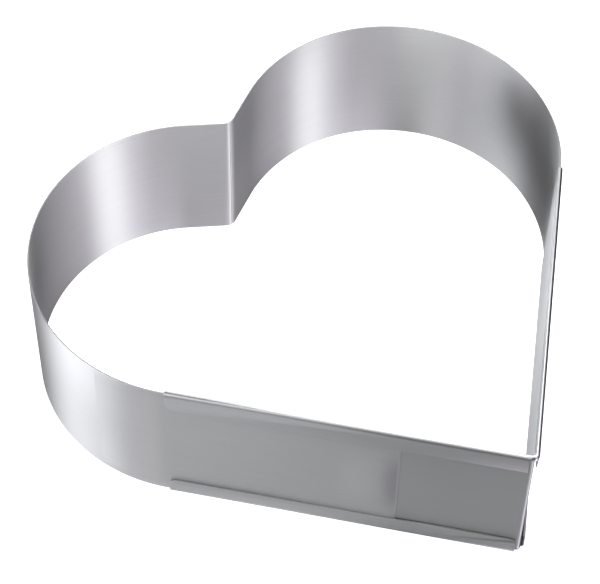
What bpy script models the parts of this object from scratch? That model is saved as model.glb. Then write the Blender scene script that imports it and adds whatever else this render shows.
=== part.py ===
"""Adjustable heart cake ring, in metres, standing on z = 0 with the cleft towards +Y.

A springy steel strip is bent to a heart. Its two straight ends lie in the channels of a V-shaped
corner piece, whose sheet is folded outwards over the strip's upper and lower edges. Drawing the ends
out of the channels makes the heart larger. The strip is one piece of steel. Here it is cut into eight
stretches, because its flexing is modelled by joints between them.
"""
import math

import bmesh
import bpy
from mathutils import Matrix, Vector

# Sheet and height
ring_height = 0.060
sheet = 0.0005
running_gap = 0.0002

# Corner piece, whose arms are measured along the channel from the sharp vertex of the V
corner_half_angle = math.radians(43)
arm_length = 0.1235
corner_bend_radius = 0.0018
upper_lip_height = 0.0092
lower_lip_height = 0.0077
lip_corner_radius = 0.003
lip_notch = 0.0022
notch_drop = 0.0012
fold_inner_radius = 0.0002

# Strip, from its straight ends round the two lobes to the crease in the cleft
end_setback = 0.044
mouth_to_bend = 0.001
crown_radius = 0.060
crown_turn = math.radians(103)
cleft_run = 0.014
cleft_half_angle = math.radians(59)
crease_radius = 0.004

# Flexing places, measured along the strip from where its lobe starts to bend
crown_flex = 0.050
shoulder_flex = 0.110
flex_gap = 0.0004
crease_gap = 0.0003

# Facets
lobe_facet = math.radians(3)
bend_facet = math.radians(8)
lip_facet = math.radians(15)
fold_facet = math.radians(30)

# Finish, from the photograph
corner_shade = 0.66
strip_shade = 0.70
steel_roughness = 0.32

# Channel and strip sizes that follow from the sheet and the running gap
fold_middle_radius = fold_inner_radius + sheet / 2
layer_step = sheet + running_gap
band_foot = sheet + running_gap
band_height = ring_height - 2 * band_foot

# Headings of the right half of the strip, anticlockwise from +X
straight_heading = math.pi / 2 - corner_half_angle
crown_heading = straight_heading + crown_turn
cleft_heading = 3 * math.pi / 2 - cleft_half_angle
crease_heading = math.pi
straight_length = arm_length + mouth_to_bend

# The shoulder arc takes the radius that brings the strip to the centre plane
crown_end_x = (straight_length * math.cos(straight_heading)
               + crown_radius * (math.sin(crown_heading) - math.sin(straight_heading)))
cleft_width = (-cleft_run * math.cos(cleft_heading)
               - crease_radius * math.sin(cleft_heading))
shoulder_radius = (crown_end_x - cleft_width) / (math.sin(crown_heading) - math.sin(cleft_heading))
shoulder_turn = cleft_heading - crown_heading
crease_turn = crease_heading - cleft_heading

# Stretches of the right half, each a length and the angle that it turns through
stretches = (
    (straight_length, 0.0),
    (crown_radius * crown_turn, crown_turn),
    (shoulder_radius * shoulder_turn, shoulder_turn),
    (cleft_run, 0.0),
    (-crease_radius * crease_turn, crease_turn),
)
half_length = sum(length for length, turn in stretches)


def strip_at(along):
    """Middle point and heading of the right half of the strip, along it from the V's vertex."""
    x = y = 0.0
    heading = straight_heading
    for length, turn in stretches:
        part = min(along, length)
        bend = turn * part / length
        chord = part if bend == 0 else 2 * part / bend * math.sin(bend / 2)
        x += chord * math.cos(heading + bend / 2)
        y += chord * math.sin(heading + bend / 2)
        heading += bend
        along -= part
        if along <= 0:
            break
    return x, y, heading


def strip_stations(start, end):
    """Places along the strip from start to end, closer together where it bends."""
    places = [start]
    reached = 0.0
    for length, turn in stretches:
        low = max(start, reached)
        high = min(end, reached + length)
        if high > low:
            facet = bend_facet if turn < 0 else lobe_facet
            count = max(1, math.ceil(abs(turn) * (high - low) / length / facet))
            places += [low + (high - low) * (i + 1) / count for i in range(count)]
        reached += length
    return places


# The frame's origin lies under the middle of the heart's box
lobe_top_along = straight_length + crown_radius * min(crown_turn, math.pi - straight_heading)
lobe_top_along += shoulder_radius * max(0.0, math.pi - crown_heading)
back_y = strip_at(lobe_top_along)[1] + sheet / 2
bend_centre_y = corner_bend_radius / math.sin(corner_half_angle)
front_y = bend_centre_y - corner_bend_radius - layer_step - sheet / 2
middle_y = (back_y + front_y) / 2


def new_collection(name):
    """A collection linked to the scene."""
    collection = bpy.data.collections.new(name)
    bpy.context.scene.collection.children.link(collection)
    return collection


def steel(name, shade):
    """Brushed stainless steel as a plain Principled material."""
    material = bpy.data.materials.new(name + "_steel")
    material.use_nodes = True
    shader = material.node_tree.nodes["Principled BSDF"]
    shader.inputs["Base Color"].default_value = (shade, shade, shade, 1)
    shader.inputs["Metallic"].default_value = 1.0
    shader.inputs["Roughness"].default_value = steel_roughness
    return material


def poly_curve(name, points, closed, collection):
    """A flat curve with straight runs between its points."""
    curve = bpy.data.curves.new(name, "CURVE")
    curve.dimensions = "2D"
    spline = curve.splines.new("POLY")
    spline.points.add(len(points) - 1)
    for target, (x, y) in zip(spline.points, points):
        target.co = (x, y, 0, 1)
    spline.use_cyclic_u = closed
    obj = bpy.data.objects.new(name, curve)
    collection.objects.link(obj)
    return obj


def curve_to_mesh(obj, collection):
    """The curve's surface as a mesh object with welded caps; the curve is removed."""
    bpy.context.view_layer.update()
    evaluated = obj.evaluated_get(bpy.context.evaluated_depsgraph_get())
    mesh = bpy.data.meshes.new_from_object(evaluated)
    build = bmesh.new()
    build.from_mesh(mesh)
    bmesh.ops.remove_doubles(build, verts=build.verts, dist=0.00001)
    bmesh.ops.recalc_face_normals(build, faces=build.faces)
    build.to_mesh(mesh)
    build.free()
    name = obj.name
    place = obj.matrix_world.copy()
    bpy.data.objects.remove(obj)
    mesh_object = bpy.data.objects.new(name, mesh)
    mesh_object.matrix_world = place
    collection.objects.link(mesh_object)
    return mesh_object


def give_thickness(obj):
    """Turns an open surface into sheet metal, half its thickness to each side."""
    solidify = obj.modifiers.new("sheet", "SOLIDIFY")
    solidify.thickness = sheet
    solidify.offset = 0
    solidify.use_even_offset = True


def arc(centre, radius, start, end, facet):
    """Points on an arc about centre, both ends included."""
    count = max(1, math.ceil(abs(end - start) / facet))
    angles = [start + (end - start) * i / count for i in range(count + 1)]
    return [(centre[0] + radius * math.cos(a), centre[1] + radius * math.sin(a)) for a in angles]


def channel_profile():
    """Middle line of the folded sheet: x outwards from the strip's middle, y up."""
    corner = layer_step - fold_middle_radius
    low = sheet / 2 + fold_middle_radius
    high = ring_height - low
    points = [(layer_step, lower_lip_height)]
    points += arc((corner, low), fold_middle_radius, 0, -math.pi / 2, fold_facet)
    points += arc((-corner, low), fold_middle_radius, -math.pi / 2, -math.pi, fold_facet)
    points += arc((-corner, high), fold_middle_radius, math.pi, math.pi / 2, fold_facet)
    points += arc((corner, high), fold_middle_radius, math.pi / 2, 0, fold_facet)
    points += [(layer_step, ring_height - upper_lip_height)]
    return points


def arm_point(side, along, outwards):
    """Place in plan, along an arm from the sharp vertex and outwards from the strip's middle."""
    across = along * math.sin(corner_half_angle) + outwards * math.cos(corner_half_angle)
    back = along * math.cos(corner_half_angle) - outwards * math.sin(corner_half_angle)
    return side * across, back


def vee_bend(outwards):
    """Points round the bend of the V, outwards from the strip's middle, from left to right."""
    return arc((0, bend_centre_y), corner_bend_radius + outwards,
               -math.pi + corner_half_angle, -corner_half_angle, bend_facet)


def channel_path():
    """Middle line of both channels, from the left mouth round the bend to the right mouth."""
    path = [arm_point(-1, arm_length, 0)] + vee_bend(0) + [arm_point(1, arm_length, 0)]
    return [(x, y - middle_y) for x, y in path]


def lip_corner_cutter(side, upper, cutters):
    """What is cut off one lip's square corner at the channel's mouth to leave it round."""
    spare = lip_corner_radius / 2
    edge = ring_height - upper_lip_height if upper else lower_lip_height
    inward = 1 if upper else -1
    centre = (arm_length - lip_corner_radius, edge + inward * lip_corner_radius)
    rounding = arc(centre, lip_corner_radius, 0, -inward * math.pi / 2, lip_facet)
    outline = [(arm_length + spare, edge - inward * spare), (arm_length + spare, centre[1])]
    outline += rounding + [(centre[0], edge - inward * spare)]
    name = f"{'left' if side < 0 else 'right'}_{'upper' if upper else 'lower'}_lip_corner"
    cutter = poly_curve(name, outline, True, cutters)
    inner_face = layer_step - sheet / 2
    depth = sheet + running_gap / 2 + spare
    cutter.data.fill_mode = "BOTH"
    cutter.data.extrude = depth / 2
    outward = Vector((side * math.cos(corner_half_angle), -math.sin(corner_half_angle), 0))
    arm = Vector((side * math.sin(corner_half_angle), math.cos(corner_half_angle), 0))
    up = Vector((0, 0, 1))
    place = Matrix((arm, up, arm.cross(up))).transposed().to_4x4()
    place.translation = outward * (inner_face - running_gap / 2 + depth / 2) - Vector((0, middle_y, 0))
    cutter.matrix_world = place
    cutter = curve_to_mesh(cutter, cutters)
    cutter.hide_render = True
    cutter.display_type = "WIRE"
    return cutter


def vee_notch_cutter(upper, cutters):
    """What is cut out of one lip round the V's bend; the upper cutter leaves the fold whole."""
    spare = lip_corner_radius / 2
    inner = sheet / 2 + running_gap / 2 - layer_step
    outer = layer_step + sheet / 2 + spare
    outline = vee_bend(inner) + [arm_point(1, lip_notch, inner), arm_point(1, lip_notch, outer)]
    outline += [arm_point(0, -outer / math.tan(corner_half_angle), outer)]
    outline += [arm_point(-1, lip_notch, outer), arm_point(-1, lip_notch, inner)]
    cutter = poly_curve(f"{'upper' if upper else 'lower'}_vee_notch", outline, True, cutters)
    low = ring_height - upper_lip_height - spare if upper else -spare
    high = ring_height - notch_drop if upper else lower_lip_height + spare
    cutter.data.fill_mode = "BOTH"
    cutter.data.extrude = (high - low) / 2
    cutter.matrix_world = Matrix.Translation((0, -middle_y, (high + low) / 2))
    cutter = curve_to_mesh(cutter, cutters)
    cutter.hide_render = True
    cutter.display_type = "WIRE"
    return cutter


def corner_piece(parts, cutters):
    """One sheet bent to a V, with a channel for the strip folded along each arm."""
    profile = poly_curve("channel_profile", channel_profile(), False, cutters)
    piece = poly_curve("corner_piece", channel_path(), False, parts)
    piece.data.bevel_mode = "OBJECT"
    piece.data.bevel_object = profile
    piece = curve_to_mesh(piece, parts)
    bpy.data.objects.remove(profile)
    give_thickness(piece)
    lip_cutters = [vee_notch_cutter(upper, cutters) for upper in (False, True)]
    for side in (-1, 1):
        lip_cutters += [lip_corner_cutter(side, upper, cutters) for upper in (False, True)]
    for cutter in lip_cutters:
        cut = piece.modifiers.new(cutter.name, "BOOLEAN")
        cut.object = cutter
    piece.data.materials.append(steel(piece.name, corner_shade))
    return piece


def strip_piece(name, side, start, end, axis_along, parent, parts):
    """One stretch of the strip, with its origin on the axis that it moves about."""
    axis_x, axis_y = strip_at(axis_along)[:2]
    middles = [strip_at(place)[:2] for place in strip_stations(start, end)]
    outline = [(side * (x - axis_x), y - axis_y) for x, y in middles]
    piece = poly_curve(name, outline, False, parts)
    piece.data.extrude = band_height / 2
    give_thickness(piece)
    piece.data.materials.append(steel(name, strip_shade))
    place = Vector((side * axis_x, axis_y - middle_y, band_foot + band_height / 2))
    piece.matrix_world = Matrix.Translation(place)
    if parent:
        piece.parent = parent
        piece.matrix_parent_inverse = parent.matrix_world.inverted()
    return piece


def strip_half(side, parts):
    """The slide end, flank, crown and cleft stretches of one half of the strip."""
    hand = "left" if side < 0 else "right"
    flank_axis = straight_length
    crown_axis = straight_length + crown_flex
    cleft_axis = straight_length + shoulder_flex
    half_gap = flex_gap / 2
    spans = (
        ("slide_end", end_setback, flank_axis - half_gap, end_setback),
        ("flank", flank_axis + half_gap, crown_axis - half_gap, flank_axis),
        ("crown", crown_axis + half_gap, cleft_axis - half_gap, crown_axis),
        ("cleft", cleft_axis + half_gap, half_length - crease_gap / 2, cleft_axis),
    )
    parent = None
    for word, start, end, axis_along in spans:
        parent = strip_piece(f"{hand}_{word}", side, start, end, axis_along, parent, parts)


def main():
    """Clears the scene and builds the ring."""
    for obj in list(bpy.data.objects):
        bpy.data.objects.remove(obj)
    parts = new_collection("adjustable_heart_cake_ring")
    cutters = new_collection("cutters")
    corner_piece(parts, cutters)
    for side in (-1, 1):
        strip_half(side, parts)


main()
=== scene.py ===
import math

import bpy
from mathutils import Matrix, Vector


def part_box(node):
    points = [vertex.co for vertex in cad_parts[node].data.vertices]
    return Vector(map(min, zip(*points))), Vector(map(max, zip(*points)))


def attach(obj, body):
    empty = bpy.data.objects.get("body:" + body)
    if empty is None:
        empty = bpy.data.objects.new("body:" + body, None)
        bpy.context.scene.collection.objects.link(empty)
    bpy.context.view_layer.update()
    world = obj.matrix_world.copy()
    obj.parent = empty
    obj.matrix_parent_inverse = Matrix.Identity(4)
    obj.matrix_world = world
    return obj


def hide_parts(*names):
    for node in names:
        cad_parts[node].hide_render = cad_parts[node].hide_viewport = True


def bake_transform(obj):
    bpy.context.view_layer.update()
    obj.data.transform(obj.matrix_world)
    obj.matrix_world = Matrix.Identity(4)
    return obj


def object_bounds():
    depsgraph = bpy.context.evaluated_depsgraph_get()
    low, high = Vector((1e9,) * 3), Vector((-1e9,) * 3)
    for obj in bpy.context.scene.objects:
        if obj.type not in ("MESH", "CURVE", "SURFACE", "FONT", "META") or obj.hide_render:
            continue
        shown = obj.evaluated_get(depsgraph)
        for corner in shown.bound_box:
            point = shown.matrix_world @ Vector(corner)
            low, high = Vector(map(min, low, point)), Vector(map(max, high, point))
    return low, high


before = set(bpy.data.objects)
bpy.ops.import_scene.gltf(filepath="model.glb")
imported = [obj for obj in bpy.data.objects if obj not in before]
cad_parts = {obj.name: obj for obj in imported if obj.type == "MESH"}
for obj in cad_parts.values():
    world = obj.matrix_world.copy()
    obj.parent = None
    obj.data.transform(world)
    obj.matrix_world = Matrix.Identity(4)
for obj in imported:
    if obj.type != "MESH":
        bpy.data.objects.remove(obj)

cad_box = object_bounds()
bpy.ops.object.select_all(action="DESELECT")


# The camera. It stands above and to the left of the ring's point and looks down on it with a long
# lens, turned about its own axis by a little over a degree. Its place follows from the spot that it
# looks at and its distance from there.
camera_turn = math.radians(36.34)
camera_dip = math.radians(53.04)
camera_roll = math.radians(1.09)
camera_distance = 0.7841
camera_lens = 131.98
camera_sensor = 36
camera_reach = (0.05, 20)
camera_target = Vector((-0.0107, 0.0203, 0.0303))

camera_axes = (
    Matrix.Rotation(-camera_turn, 3, "Z")
    @ Matrix.Rotation(math.pi / 2 - camera_dip, 3, "X")
    @ Matrix.Rotation(camera_roll, 3, "Z")
)
bpy.ops.object.camera_add(
    location=camera_target + camera_axes @ Vector((0, 0, camera_distance)),
    rotation=camera_axes.to_euler(),
)
camera = bpy.context.object
camera.data.lens = camera_lens
camera.data.sensor_width = camera_sensor
camera.data.clip_start, camera.data.clip_end = camera_reach
bpy.context.scene.camera = camera


# The studio. A plain white floor in a dark room with twenty soft-edged windows of light, which the
# brushed steel draws out into upright bands. The floor is hidden from reflections and shadows, so
# that the steel sees the windows below it too, and one soft light hangs close overhead.
floor_size = 6.0
floor_drop = 0.0001
floor_shade = 0.85
floor_glow = 0.9
floor_roughness = 0.9
close_light_height = 0.45
close_light_size = 0.28
close_light_power = 1.5
cool = (0.975, 0.99, 1.01)
blue = (0.965, 0.985, 1.03)
green = (0.95, 0.99, 0.985)
pale_violet = (1.0, 0.985, 1.03)
violet = (1.02, 0.98, 1.075)

bpy.context.scene.view_settings.view_transform = "Standard"
world = bpy.data.worlds.new("studio_room")
world.use_nodes = True
bpy.context.scene.world = world


def reckon(tree, operation, *values):
    """Reckons one sum in a node tree, whose terms are numbers or what other nodes put out."""
    node = tree.nodes.new("ShaderNodeMath")
    node.operation = operation
    for socket, value in zip(node.inputs, values):
        if isinstance(value, (int, float)):
            socket.default_value = value
        else:
            tree.links.new(value, socket)
    return node.outputs["Value"]


def times(tree, colour, factor):
    """A colour made brighter or darker by a factor."""
    node = tree.nodes.new("ShaderNodeVectorMath")
    node.operation = "SCALE"
    tree.links.new(colour, node.inputs[0])
    tree.links.new(factor, node.inputs["Scale"])
    return node.outputs["Vector"]


def soft_window():
    """How brightly a soft-edged window shines into the room, added to the windows before it."""
    group = bpy.data.node_groups.new("soft_window", "ShaderNodeTree")
    for label in ("Turn", "Rise", "Width", "Height", "Brightness"):
        group.interface.new_socket(label, in_out="INPUT", socket_type="NodeSocketFloat")
    for label in ("Tint", "Before"):
        group.interface.new_socket(label, in_out="INPUT", socket_type="NodeSocketColor")
    group.interface.new_socket("Light", in_out="OUTPUT", socket_type="NodeSocketColor")
    nodes, links = group.nodes, group.links
    source = nodes.new("NodeGroupInput")
    way = nodes.new("ShaderNodeTexCoord").outputs["Generated"]
    turned = nodes.new("ShaderNodeVectorRotate")
    turned.rotation_type = "Z_AXIS"
    links.new(way, turned.inputs["Vector"])
    links.new(source.outputs["Turn"], turned.inputs["Angle"])
    axes = nodes.new("ShaderNodeSeparateXYZ")
    links.new(turned.outputs["Vector"], axes.inputs["Vector"])

    # Half as bright where the way is half the width aside or half the height above or below
    turn_away = reckon(group, "ARCTAN2", axes.outputs["X"], axes.outputs["Y"])
    risen = reckon(group, "ARCSINE", axes.outputs["Z"])
    rise_away = reckon(group, "SUBTRACT", risen, source.outputs["Rise"])
    aside = reckon(group, "DIVIDE", turn_away, source.outputs["Width"])
    above = reckon(group, "DIVIDE", rise_away, source.outputs["Height"])
    aside = reckon(group, "MULTIPLY", aside, aside)
    above = reckon(group, "MULTIPLY", above, above)
    spread = reckon(group, "MULTIPLY_ADD", aside, aside, reckon(group, "MULTIPLY", above, above))
    falloff = reckon(group, "POWER", 0.5, spread)
    shine = reckon(group, "MULTIPLY", falloff, source.outputs["Brightness"])
    light = nodes.new("ShaderNodeVectorMath")
    light.operation = "ADD"
    links.new(times(group, source.outputs["Tint"], shine), light.inputs[0])
    links.new(source.outputs["Before"], light.inputs[1])
    result = nodes.new("NodeGroupOutput")
    links.new(light.outputs["Vector"], result.inputs["Light"])
    return group


# Each window's turn from +Y towards +X, its rise, its half width and half height in degrees,
# its brightness and its tint
windows = {
    "left_window": (286, -4, 23, 14, 4.6, blue),
    "left_window_heart": (290, -4, 9, 14, 0.9, blue),
    "left_glow": (285, 2, 45, 22, 1.4, pale_violet),
    "back_window": (4, -3, 14, 14, 3.5, blue),
    "back_glow": (350, 10, 16, 10, 1.5, blue),
    "low_right_window": (157, -36, 11, 13, 3.1, green),
    "low_right_glow": (157, -50, 16, 12, 0.7, cool),
    "low_haze": (150, -50, 48, 11, 1.0, violet),
    "middle_haze": (176, -40, 9, 14, 0.6, violet),
    "lobe_haze": (200, -46, 10, 12, 0.6, violet),
    "bottom_haze": (175, -72, 45, 12, 2.9, violet),
    "low_left_window": (268, -72, 20, 12, 2.1, violet),
    "low_left_glow": (250, -60, 14, 10, 0.7, green),
    "low_back_window": (35, -50, 14, 10, 6.5, blue),
    "front_window": (238, 34, 20, 12, 2.4, green),
    "high_right_window": (157, 25, 12, 22, 0.4, violet),
    "high_right_haze": (130, 50, 40, 12, 4.8, violet),
    "rim_window": (36, 52, 20, 10, 4.2, cool),
    "rim_glow": (36, 0, 14, 42, 1.5, cool),
    "rim_shade": (222, 10, 16, 34, 0.12, cool),
}
window_group = soft_window()
room = world.node_tree
light = None
for name, (turn, rise, width, height, brightness, tint) in windows.items():
    window = room.nodes.new("ShaderNodeGroup")
    window.name = name
    window.node_tree = window_group
    for label, angle in (("Turn", turn), ("Rise", rise), ("Width", width), ("Height", height)):
        window.inputs[label].default_value = math.radians(angle)
    window.inputs["Brightness"].default_value = brightness
    window.inputs["Tint"].default_value = (*tint, 1)
    window.inputs["Before"].default_value = (0, 0, 0, 1)
    if light:
        room.links.new(light, window.inputs["Before"])
    light = window.outputs["Light"]
background = room.nodes["Background"]
room.links.new(light, background.inputs["Color"])

bpy.ops.object.light_add(type="AREA", location=(0, 0, close_light_height))
close_light = bpy.context.object
close_light.name = "close_light"
close_light.data.shape = "SQUARE"
close_light.data.size = close_light_size
close_light.data.energy = close_light_power
close_light.data.color = pale_violet
close_light.visible_camera = False

bpy.ops.mesh.primitive_plane_add(size=floor_size, location=(0, 0, cad_box[0].z - floor_drop))
floor = bpy.context.object
floor.name = "studio_floor"
floor.visible_glossy = False
floor.visible_shadow = False
floor_paper = bpy.data.materials.new("floor_paper")
floor_paper.use_nodes = True
paper_shader = floor_paper.node_tree.nodes["Principled BSDF"]
paper_shader.inputs["Base Color"].default_value = (floor_shade, floor_shade, floor_shade, 1)
paper_shader.inputs["Roughness"].default_value = floor_roughness
paper_shader.inputs["Specular IOR Level"].default_value = 0.0
paper_shader.inputs["Emission Color"].default_value = (1, 1, 1, 1)
paper_shader.inputs["Emission Strength"].default_value = floor_glow
floor_paper.cycles.emission_sampling = "NONE"
floor.data.materials.append(floor_paper)


# The strip. One band of springy stainless steel, cut from brushed sheet and bent to a heart with a
# crease in its cleft. Both straight ends stay loose in the channels of the corner piece. It flexes
# as it is drawn out, so each half is made as three lengths, cut apart between the flexing places.
sheet = 0.0005
running_gap = 0.0002
corner_half_angle = math.radians(43)
arm_length = 0.1235
straight_past_mouth = 0.001
corner_bend_radius = 0.0018
end_setback = 0.044
crown_radius = 0.060
crown_turn = math.radians(103)
cleft_run = 0.014
cleft_half_angle = math.radians(59)
crease_radius = 0.004
crown_flex = 0.050
shoulder_flex = 0.110

layer_step = sheet + running_gap
ring_top = cad_box[1].z
band_foot = cad_box[0].z + layer_step
band_top = ring_top - layer_step
straight_length = arm_length + straight_past_mouth
straight_heading = math.pi / 2 - corner_half_angle
crown_heading = straight_heading + crown_turn
cleft_heading = 3 * math.pi / 2 - cleft_half_angle
bend_centre = corner_bend_radius / math.sin(corner_half_angle)
vertex_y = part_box("corner_piece")[0].y - (bend_centre - corner_bend_radius - layer_step - sheet / 2)

crown_end_x = (straight_length * math.cos(straight_heading)
               + crown_radius * (math.sin(crown_heading) - math.sin(straight_heading)))
cleft_width = -cleft_run * math.cos(cleft_heading) - crease_radius * math.sin(cleft_heading)
shoulder_radius = (crown_end_x - cleft_width) / (math.sin(crown_heading) - math.sin(cleft_heading))
stretches = (
    (straight_length, 0.0),
    (crown_radius * crown_turn, crown_turn),
    (shoulder_radius * (cleft_heading - crown_heading), cleft_heading - crown_heading),
    (cleft_run, 0.0),
    (crease_radius * (cleft_heading - math.pi), math.pi - cleft_heading),
)
half_length = sum(length for length, turn in stretches)


def towards(heading):
    """A level step of length one towards a heading."""
    return Vector((math.cos(heading), math.sin(heading), 0))


def strip_at(along):
    """Place and heading of the right half of the strip, measured along it from the V's vertex."""
    place = Vector((0, vertex_y, 0))
    heading = straight_heading
    for length, turn in stretches:
        part = min(along, length)
        bend = turn * part / length
        chord = part if bend == 0 else 2 * part / bend * math.sin(bend / 2)
        place += chord * towards(heading + bend / 2)
        heading += bend
        along -= part
        if along <= 0:
            break
    return place, heading


def select_where(obj, test, kind="VERT"):
    """In edit mode, selects the vertices or faces whose middles pass the test, and nothing else."""
    bpy.ops.mesh.select_mode(type=kind)
    bpy.ops.mesh.select_all(action="DESELECT")
    bpy.ops.object.mode_set(mode="OBJECT")
    if kind == "VERT":
        for vertex in obj.data.vertices:
            vertex.select = test(vertex.co)
    else:
        for face in obj.data.polygons:
            face.select = test(face.center)
    bpy.ops.object.mode_set(mode="EDIT")


def apply_modifiers(obj):
    """Applies every modifier of the object in turn."""
    bpy.context.view_layer.objects.active = obj
    for modifier in list(obj.modifiers):
        bpy.ops.object.modifier_apply(modifier=modifier.name)


spring_cuts = 16
spring_foot = 0.0080
spring_top = 0.0505
spring_lift = 0.00035
spring_dip = 0.00015
spring_crest = 0.0065
spring_reach = 0.022
straight_step = 0.001
bent_step = 0.0004
rim_round = 0.00012
rim_segments = 2
cut_edge_angle = math.radians(60)
level_normal = 0.5
smooth_limit = math.radians(25)


def lead_strip(start, end):
    """An upright edge led along the right half's path from start to end, as an open band."""
    place, heading = strip_at(start)
    along = towards(heading)
    first = straight_step if start < straight_length else bent_step
    bpy.ops.mesh.primitive_plane_add(
        size=1,
        location=place + along * first / 2 + Vector((0, 0, (band_foot + band_top) / 2)),
        rotation=(math.pi / 2, 0, heading),
    )
    band = bpy.context.object
    band.scale = (first, band_top - band_foot, 1)
    bpy.ops.object.transform_apply(location=True, rotation=True, scale=True)
    bpy.ops.object.mode_set(mode="EDIT")
    select_where(band, lambda co: (co - place).dot(along) > first / 2)
    reached = 0.0
    at = start + first
    for stretch, turn in stretches:
        reached += stretch
        part = min(end, reached) - at
        if part <= 0:
            continue
        here, heading = strip_at(at)
        if turn == 0:
            steps = max(1, round(part / straight_step))
            step = part / steps * towards(heading)
            for _ in range(steps):
                bpy.ops.mesh.extrude_region_move(TRANSFORM_OT_translate={"value": step})
        else:
            radius = stretch / turn
            centre = here + radius * Vector((-math.sin(heading), math.cos(heading), 0))
            steps = max(1, round(part / bent_step))
            bpy.ops.mesh.spin(steps=steps, angle=-part / radius, center=centre, axis=(0, 0, 1))
        at += part
    bpy.ops.mesh.select_all(action="SELECT")
    bpy.ops.mesh.normals_make_consistent(inside=False)
    bpy.ops.object.mode_set(mode="OBJECT")
    return band


def thicken(obj, face_steel, edge_steel):
    """Gives an open surface the sheet's thickness, and its upper and lower cuts their own steel."""
    obj.data.materials.append(face_steel)
    obj.data.materials.append(edge_steel)
    solidify = obj.modifiers.new("sheet", "SOLIDIFY")
    solidify.thickness = sheet
    solidify.offset = 0
    solidify.use_even_offset = True
    solidify.material_offset_rim = 1
    apply_modifiers(obj)
    for face in obj.data.polygons:
        if abs(face.normal.z) < level_normal:
            face.material_index = 0


def spring_end(length):
    """Lets the strip's cut end spring a little off the corner piece between the two lips."""
    across = Vector((math.sin(straight_heading), -math.cos(straight_heading), 0))
    end_place, heading = strip_at(end_setback)
    bpy.ops.object.mode_set(mode="EDIT")
    for cut in range(1, spring_cuts):
        bpy.ops.mesh.select_all(action="SELECT")
        level = band_foot + (band_top - band_foot) * cut / spring_cuts
        bpy.ops.mesh.bisect(plane_co=(0, 0, level), plane_no=(0, 0, 1))
    bpy.ops.object.mode_set(mode="OBJECT")
    end_way = towards(heading)
    for vertex in length.data.vertices:
        past_end = (vertex.co - end_place).dot(end_way)
        up = (vertex.co.z - spring_foot) / (spring_top - spring_foot)
        if past_end > spring_reach or not 0 < up < 1:
            continue
        if past_end < spring_crest:
            lift = spring_lift - (spring_lift + spring_dip) * (1 - past_end / spring_crest) ** 2
        else:
            past_crest = (past_end - spring_crest) / (spring_reach - spring_crest)
            lift = spring_lift * (1 + math.cos(math.pi * past_crest)) / 2
        vertex.co += across * lift * math.sin(math.pi * up) ** 2


def strip_length(name, start, end, seams):
    """One length of the right half with its cut edges rounded, but square at its seams."""
    length = lead_strip(start, end)
    length.name = name
    if start == end_setback:
        spring_end(length)
    thicken(length, strip_steel, cut_steel)
    planes = []
    for seam in seams:
        place, heading = strip_at(seam)
        planes.append((place, towards(heading)))

    def at_seam(co):
        return any(
            abs((co - place).dot(along)) < bent_step / 10 and (co - place).length < 2 * ring_top
            for place, along in planes
        )

    bpy.ops.object.mode_set(mode="EDIT")
    bpy.ops.mesh.select_mode(type="EDGE")
    bpy.ops.mesh.select_all(action="DESELECT")
    bpy.ops.mesh.edges_select_sharp(sharpness=cut_edge_angle)
    bpy.ops.object.mode_set(mode="OBJECT")
    vertices = length.data.vertices
    for face in length.data.polygons:
        face.select = False
    for edge in length.data.edges:
        if edge.select and all(at_seam(vertices[i].co) for i in edge.vertices):
            edge.select = False
    bpy.ops.object.mode_set(mode="EDIT")
    bpy.ops.mesh.bevel(offset=rim_round, segments=rim_segments, affect="EDGES")
    bpy.ops.object.mode_set(mode="OBJECT")
    bpy.ops.object.shade_smooth_by_angle(angle=smooth_limit)
    return length


def mirrored(obj, name):
    """A copy of a right-hand piece for the left side."""
    bpy.ops.object.select_all(action="DESELECT")
    obj.select_set(True)
    bpy.context.view_layer.objects.active = obj
    bpy.ops.object.duplicate()
    copy = bpy.context.object
    copy.name = name
    copy.scale.x = -1
    bpy.ops.object.transform_apply(location=False, rotation=False, scale=True)
    bpy.ops.object.mode_set(mode="EDIT")
    bpy.ops.mesh.select_all(action="SELECT")
    bpy.ops.mesh.normals_make_consistent(inside=False)
    bpy.ops.object.mode_set(mode="OBJECT")
    return copy


grain_along, grain_across, grain_detail = 70, 4200, 4
patch_along, patch_across, patch_detail = 14, 30, 3
noise_low, noise_high = 0.3, 0.7
patch_spread = 0.06
grain_relief = 0.05
grain_depth = 0.00002
grain_upright = (0.02, 0.03, 1.0)
grain_pull = 0.95


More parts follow.
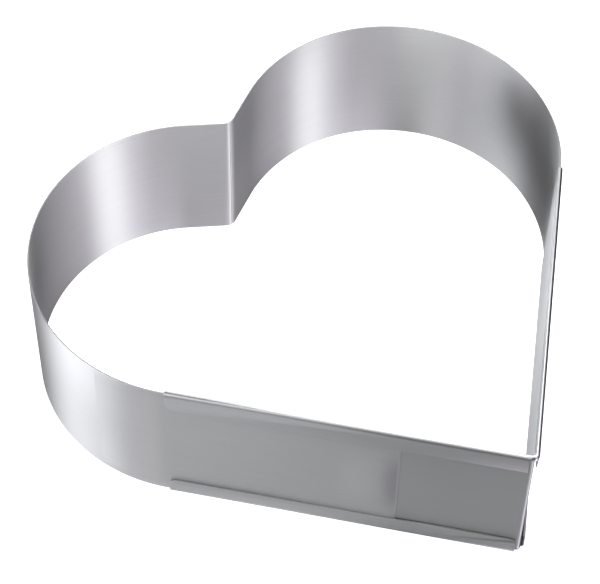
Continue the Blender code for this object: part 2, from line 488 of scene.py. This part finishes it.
def brushed_grain():
    """The grain that a brushing belt leaves along a band: colour, roughness and height."""
    group = bpy.data.node_groups.new("brushed_grain", "ShaderNodeTree")
    group.interface.new_socket("Shade", in_out="INPUT", socket_type="NodeSocketColor")
    for label in ("Roughness", "Streaks"):
        group.interface.new_socket(label, in_out="INPUT", socket_type="NodeSocketFloat")
    group.interface.new_socket("Colour", in_out="OUTPUT", socket_type="NodeSocketColor")
    group.interface.new_socket("Roughness", in_out="OUTPUT", socket_type="NodeSocketFloat")
    group.interface.new_socket("Height", in_out="OUTPUT", socket_type="NodeSocketFloat")
    nodes, links = group.nodes, group.links
    source = nodes.new("NodeGroupInput")
    result = nodes.new("NodeGroupOutput")
    place = nodes.new("ShaderNodeTexCoord")

    def streaks(along_scale, across_scale, detail):
        stretch = nodes.new("ShaderNodeMapping")
        stretch.inputs["Scale"].default_value = (along_scale, along_scale, across_scale)
        noise = nodes.new("ShaderNodeTexNoise")
        noise.inputs["Scale"].default_value = 1
        noise.inputs["Detail"].default_value = detail
        links.new(place.outputs["Object"], stretch.inputs["Vector"])
        links.new(stretch.outputs["Vector"], noise.inputs["Vector"])
        return noise.outputs["Fac"]

    def spread(value, low, high):
        remap = nodes.new("ShaderNodeMapRange")
        links.new(value, remap.inputs["Value"])
        for label, end in (
            ("From Min", noise_low),
            ("From Max", noise_high),
            ("To Min", low),
            ("To Max", high),
        ):
            remap.inputs[label].default_value = end
        return remap.outputs["Result"]

    fine = streaks(grain_along, grain_across, grain_detail)
    soft = streaks(patch_along, patch_across, patch_detail)

    wobble = reckon(group, "MULTIPLY", spread(fine, -1, 1), source.outputs["Streaks"])
    lighter = reckon(group, "ADD", wobble, 1)
    links.new(times(group, source.outputs["Shade"], lighter), result.inputs["Colour"])
    patch = spread(soft, 1 - patch_spread, 1 + patch_spread)
    rough = reckon(group, "MULTIPLY", patch, source.outputs["Roughness"])
    links.new(rough, result.inputs["Roughness"])
    links.new(fine, result.inputs["Height"])
    return group


grain = brushed_grain()


def brushed_steel(name, shade, roughness, streaks):
    """Brushed stainless steel whose grain runs level, so that light is drawn out upright."""
    material = bpy.data.materials.new(name)
    material.use_nodes = True
    nodes, links = material.node_tree.nodes, material.node_tree.links
    shader = nodes["Principled BSDF"]
    shader.inputs["Metallic"].default_value = 1.0
    shader.inputs["Anisotropic"].default_value = grain_pull
    finish = nodes.new("ShaderNodeGroup")
    finish.node_tree = grain
    finish.inputs["Shade"].default_value = (*shade, 1)
    finish.inputs["Roughness"].default_value = roughness
    finish.inputs["Streaks"].default_value = streaks
    links.new(finish.outputs["Colour"], shader.inputs["Base Color"])
    links.new(finish.outputs["Roughness"], shader.inputs["Roughness"])
    bump = nodes.new("ShaderNodeBump")
    bump.inputs["Strength"].default_value = grain_relief
    bump.inputs["Distance"].default_value = grain_depth
    links.new(finish.outputs["Height"], bump.inputs["Height"])
    links.new(bump.outputs["Normal"], shader.inputs["Normal"])
    upright = nodes.new("ShaderNodeCombineXYZ")
    for socket, value in zip(upright.inputs, grain_upright):
        socket.default_value = value
    links.new(upright.outputs["Vector"], shader.inputs["Tangent"])
    return material


strip_steel = brushed_steel(
    "brushed_strip_steel", shade=(0.600, 0.601, 0.601), roughness=0.45, streaks=0.03
)

# Painted shade darkens the strip a little beside its cut end, most of all at half height
painted_end_shade = 0.2
painted_shade_reach = 0.007
painted_shade_middle = 0.004
painted_shade_height = 0.020
end_place, end_heading = strip_at(end_setback)
end_way = towards(end_heading)
end_at = end_place.dot(end_way)


def rising(tree, value, start, end):
    """A mask that rises softly from 0 to 1 as the value goes from start to end."""
    remap = tree.nodes.new("ShaderNodeMapRange")
    remap.interpolation_type = "SMOOTHSTEP"
    remap.inputs["From Min"].default_value = start
    remap.inputs["From Max"].default_value = end
    tree.links.new(value, remap.inputs["Value"])
    return remap.outputs["Result"]


def place_axes(tree):
    """How far a place is to the right and forwards, and how far up or down from half height."""
    place = tree.nodes.new("ShaderNodeTexCoord")
    axes = tree.nodes.new("ShaderNodeSeparateXYZ")
    tree.links.new(place.outputs["Object"], axes.inputs["Vector"])
    above = reckon(tree, "SUBTRACT", axes.outputs["Z"], ring_top / 2)
    return axes.outputs["X"], axes.outputs["Y"], reckon(tree, "ABSOLUTE", above)


tree = strip_steel.node_tree
across, forward, from_middle = place_axes(tree)
along_arm = reckon(tree, "MULTIPLY", reckon(tree, "ABSOLUTE", across), end_way.x)
along_arm = reckon(tree, "MULTIPLY_ADD", forward, end_way.y, along_arm)
near_end = rising(tree, along_arm, end_at + painted_shade_reach, end_at)
near_middle = rising(tree, from_middle, painted_shade_height, painted_shade_middle)
# Painted shade: the strip's colour is made darker beside its cut end
painted_shade = reckon(tree, "MULTIPLY", near_end, near_middle)
left_over = reckon(tree, "MULTIPLY_ADD", painted_shade, -painted_end_shade, 1)
finish = next(node for node in tree.nodes if node.type == "GROUP")
shader = tree.nodes["Principled BSDF"]
tree.links.new(times(tree, finish.outputs["Colour"], left_over), shader.inputs["Base Color"])

# The edges that the shears left are duller than the brushed faces
cut_steel = brushed_steel(
    "cut_edge_steel", shade=(0.52, 0.52, 0.52), roughness=0.6, streaks=0.05
)

mouth_seam = straight_length + crown_flex / 2
crown_seam = straight_length + (crown_flex + shoulder_flex) / 2
crease_half_gap = 0.00005
crease_end = half_length - crease_half_gap
mouth_flex_at = straight_length
crown_flex_at = straight_length + crown_flex
shoulder_flex_at = straight_length + shoulder_flex
flex_reach = 0.020

# Each length's name, start, end and seams, its flexing place with the bodies before and after it,
# and the nodes that it stands for
lengths = (
    ("flank", end_setback, mouth_seam, (mouth_seam,),
     mouth_flex_at, ("end", "flank"), ("slide_end", "flank")),
    ("crown", mouth_seam, crown_seam, (mouth_seam, crown_seam),
     crown_flex_at, ("flank", "crown"), ("crown",)),
    ("cleft", crown_seam, crease_end, (crown_seam, crease_end),
     shoulder_flex_at, ("crown", "cleft"), ("cleft",)),
)
for word, start, end, seams, flex_at, bodies, nodes in lengths:
    right = strip_length(f"right_{word}_strip", start, end, seams)
    left = mirrored(right, f"left_{word}_strip")
    bend_from = strip_at(flex_at - flex_reach)[0]
    bend_to = strip_at(flex_at + flex_reach)[0]
    for hand, piece, side in (("right", right, 1), ("left", left, -1)):
        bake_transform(piece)
        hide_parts(*[f"{hand}_{node}" for node in nodes])


# The corner piece. A second sheet of brushed stainless steel bent to a V, whose upper and lower
# edges are folded outwards and back over the strip, so that each arm is a channel that the strip
# slides in. The lips are notched where the V bends and rounded off at the channels' mouths.
upper_lip_height = 0.0092
lower_lip_height = 0.0077
lip_corner_radius = 0.003
lip_notch = 0.0022
lip_notch_radius = 0.0016
guard = 0.0003
fold_steps = 20
fold_droop = 1.8
lip_press = 0.00035
press_start = 0.034
press_steps = 6
press_share = 0.1
vee_steps = 16
lip_corner_segments = 10
mouth_reach = 4 * sheet
merge_reach = 0.00001

fold_radius = layer_step
strip_y = vertex_y + bend_centre - corner_bend_radius
wall_y = strip_y + layer_step
fold_low = cad_box[0].z + sheet / 2 + fold_radius
fold_high = ring_top - sheet / 2 - fold_radius
fold_tips = {1: ring_top - sheet / 2, -1: cad_box[0].z + sheet / 2}
lip_edges = {1: ring_top - upper_lip_height, -1: cad_box[0].z + lower_lip_height}


def fold_over(wall_end, up):
    """Folds the sheet outwards at the wall's end, with its free lip lying back along the strip."""
    fold_z = fold_high if up > 0 else fold_low
    select_where(corner, lambda co: abs(co.z - wall_end) < guard / 2)
    bpy.ops.mesh.extrude_region_move(TRANSFORM_OT_translate={"value": (0, 0, up * guard)})
    centre = (0, strip_y, fold_z)
    bpy.ops.mesh.spin(steps=fold_steps, angle=-up * math.pi, center=centre, axis=(1, 0, 0))
    bpy.ops.mesh.extrude_region_move(TRANSFORM_OT_translate={"value": (0, 0, -up * guard)})
    select_where(corner, lambda co: co.y < strip_y and up * (co.z - fold_z) > -2 * guard)
    bpy.ops.transform.resize(value=(1, 1, fold_droop), center_override=(0, 0, fold_tips[up]))
    lip_top = fold_tips[up] - up * fold_droop * (fold_radius + guard)
    select_where(corner, lambda co: co.y < strip_y and abs(co.z - lip_top) < guard / 2)
    lip_run = (0, 0, lip_edges[up] - lip_top)
    bpy.ops.mesh.extrude_region_move(TRANSFORM_OT_translate={"value": lip_run})


bpy.ops.mesh.primitive_plane_add(
    size=1,
    location=(guard / 2, wall_y, (fold_low + fold_high) / 2),
    rotation=(math.pi / 2, 0, 0),
)
corner = bpy.context.object
corner.name = "folded_corner_piece"
corner.scale = (guard, fold_high - fold_low - 2 * guard, 1)
bpy.ops.object.transform_apply(location=True, rotation=True, scale=True)
bpy.ops.object.mode_set(mode="EDIT")
select_where(corner, lambda co: co.x > guard / 2)
bpy.ops.mesh.delete(type="VERT")
fold_over(fold_high - guard, 1)
fold_over(fold_low + guard, -1)

# The V's bend, a short run up to the notches' edge, then the rest of the arm
bpy.ops.mesh.select_all(action="SELECT")
bpy.ops.mesh.spin(
    steps=vee_steps,
    angle=-(math.pi / 2 - corner_half_angle),
    center=(0, vertex_y + bend_centre, 0),
    axis=(0, 0, 1),
)
arm_way = towards(straight_heading)
bend_end = corner_bend_radius / math.tan(corner_half_angle)
press_step = (end_setback - press_start) / press_steps
runs = [lip_notch - bend_end, press_start - lip_notch]
runs += [press_step] * press_steps
runs += [arm_length - end_setback]
for run in runs:
    bpy.ops.mesh.extrude_region_move(TRANSFORM_OT_translate={"value": arm_way * run})


notch_top = fold_tips[1] - fold_droop * (fold_radius + guard)
lip_side = running_gap / 2 + sheet / 2 - layer_step


def in_notch(co):
    """Whether a place lies in a lip and within the notch round the V's bend."""
    from_centre = Vector((co.x, co.y - vertex_y - bend_centre, 0))
    past_bend = from_centre.dot(arm_way)
    outwards = (from_centre - arm_way * max(past_bend, 0)).length - corner_bend_radius
    return (
        past_bend < lip_notch - bend_end
        and outwards > lip_side
        and (co.z < lip_edges[-1] or lip_edges[1] < co.z < notch_top)
    )


select_where(corner, in_notch, "FACE")
bpy.ops.mesh.delete(type="FACE")
bpy.ops.object.mode_set(mode="OBJECT")

mirror = corner.modifiers.new("other_arm", "MIRROR")
mirror.merge_threshold = merge_reach
apply_modifiers(corner)
bpy.ops.object.mode_set(mode="EDIT")
bpy.ops.mesh.select_all(action="SELECT")
bpy.ops.mesh.normals_make_consistent(inside=False)
mouth_x = arm_length * math.cos(straight_heading) - mouth_reach


def at_lip_corner(co):
    """Whether a place is where a lip's edge ends at a channel's mouth."""
    return abs(co.x) > mouth_x and any(abs(co.z - edge) < guard / 2 for edge in lip_edges.values())


select_where(corner, at_lip_corner)
bpy.ops.mesh.bevel(offset=lip_corner_radius, segments=lip_corner_segments, affect="VERTICES")


def at_notch_corner(co):
    """Whether a place is where the lower lip's edge meets its notch at the V's bend."""
    from_bend = Vector((abs(co.x), co.y - vertex_y - bend_centre, 0))
    return (
        abs(from_bend.dot(arm_way) - lip_notch + bend_end) < guard / 3
        and from_bend.cross(arm_way).z > corner_bend_radius
        and abs(co.z - lip_edges[-1]) < guard / 3
    )


select_where(corner, at_notch_corner)
bpy.ops.mesh.bevel(offset=lip_notch_radius, segments=lip_corner_segments, affect="VERTICES")
bpy.ops.object.mode_set(mode="OBJECT")

# The lips' free edges are pressed closer where the channel is empty, up to where the strip ends
pressed_low = lip_edges[-1] - press_share * lower_lip_height
pressed_high = lip_edges[1] + guard
for vertex in corner.data.vertices:
    side = math.copysign(1, vertex.co.x)
    along = Vector((side * arm_way.x, arm_way.y, 0))
    outwards = Vector((side * arm_way.y, -arm_way.x, 0))
    from_vertex = vertex.co - Vector((0, vertex_y, 0))
    if from_vertex.dot(outwards) > fold_radius / 2 and pressed_low < vertex.co.z < pressed_high:
        empty = (end_setback - from_vertex.dot(along)) / (end_setback - press_start)
        share = (1 - math.cos(math.pi * min(max(empty, 0), 1))) / 2
        vertex.co -= outwards * lip_press * share

# The corner piece's steel is a little darker than the strip's
corner_steel = brushed_steel(
    "brushed_corner_steel", shade=(0.526, 0.530, 0.530), roughness=0.45, streaks=0.03
)
# The lips' sheared edges are duller steel, and darker than the strip's edges as painted shade along
# the lips' outlines
lip_edge_steel_and_shade = brushed_steel(
    "lip_edge_steel_and_shade", shade=(0.42, 0.42, 0.42), roughness=0.6, streaks=0.05
)
thicken(corner, corner_steel, lip_edge_steel_and_shade)
ease = corner.modifiers.new("eased_edges", "BEVEL")
ease.width = rim_round
ease.segments = rim_segments
ease.limit_method = "ANGLE"
ease.angle_limit = cut_edge_angle
apply_modifiers(corner)
bpy.ops.object.shade_smooth_by_angle(angle=smooth_limit)

# The folding tool has burnished the two folded rims
burnish_depth = 0.0022
burnish_fade = 0.0010
burnished_roughness = 0.28
burnish_start = ring_top / 2 - burnish_depth
tree = corner_steel.node_tree
from_middle = place_axes(tree)[2]
burnish = rising(tree, from_middle, burnish_start, burnish_start + burnish_fade)
finish = next(node for node in tree.nodes if node.type == "GROUP")
blend = tree.nodes.new("ShaderNodeMix")
tree.links.new(burnish, blend.inputs["Factor"])
tree.links.new(finish.outputs["Roughness"], blend.inputs["A"])
blend.inputs["B"].default_value = burnished_roughness
tree.links.new(blend.outputs["Result"], tree.nodes["Principled BSDF"].inputs["Roughness"])
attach(corner, "corner")
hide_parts("corner_piece")
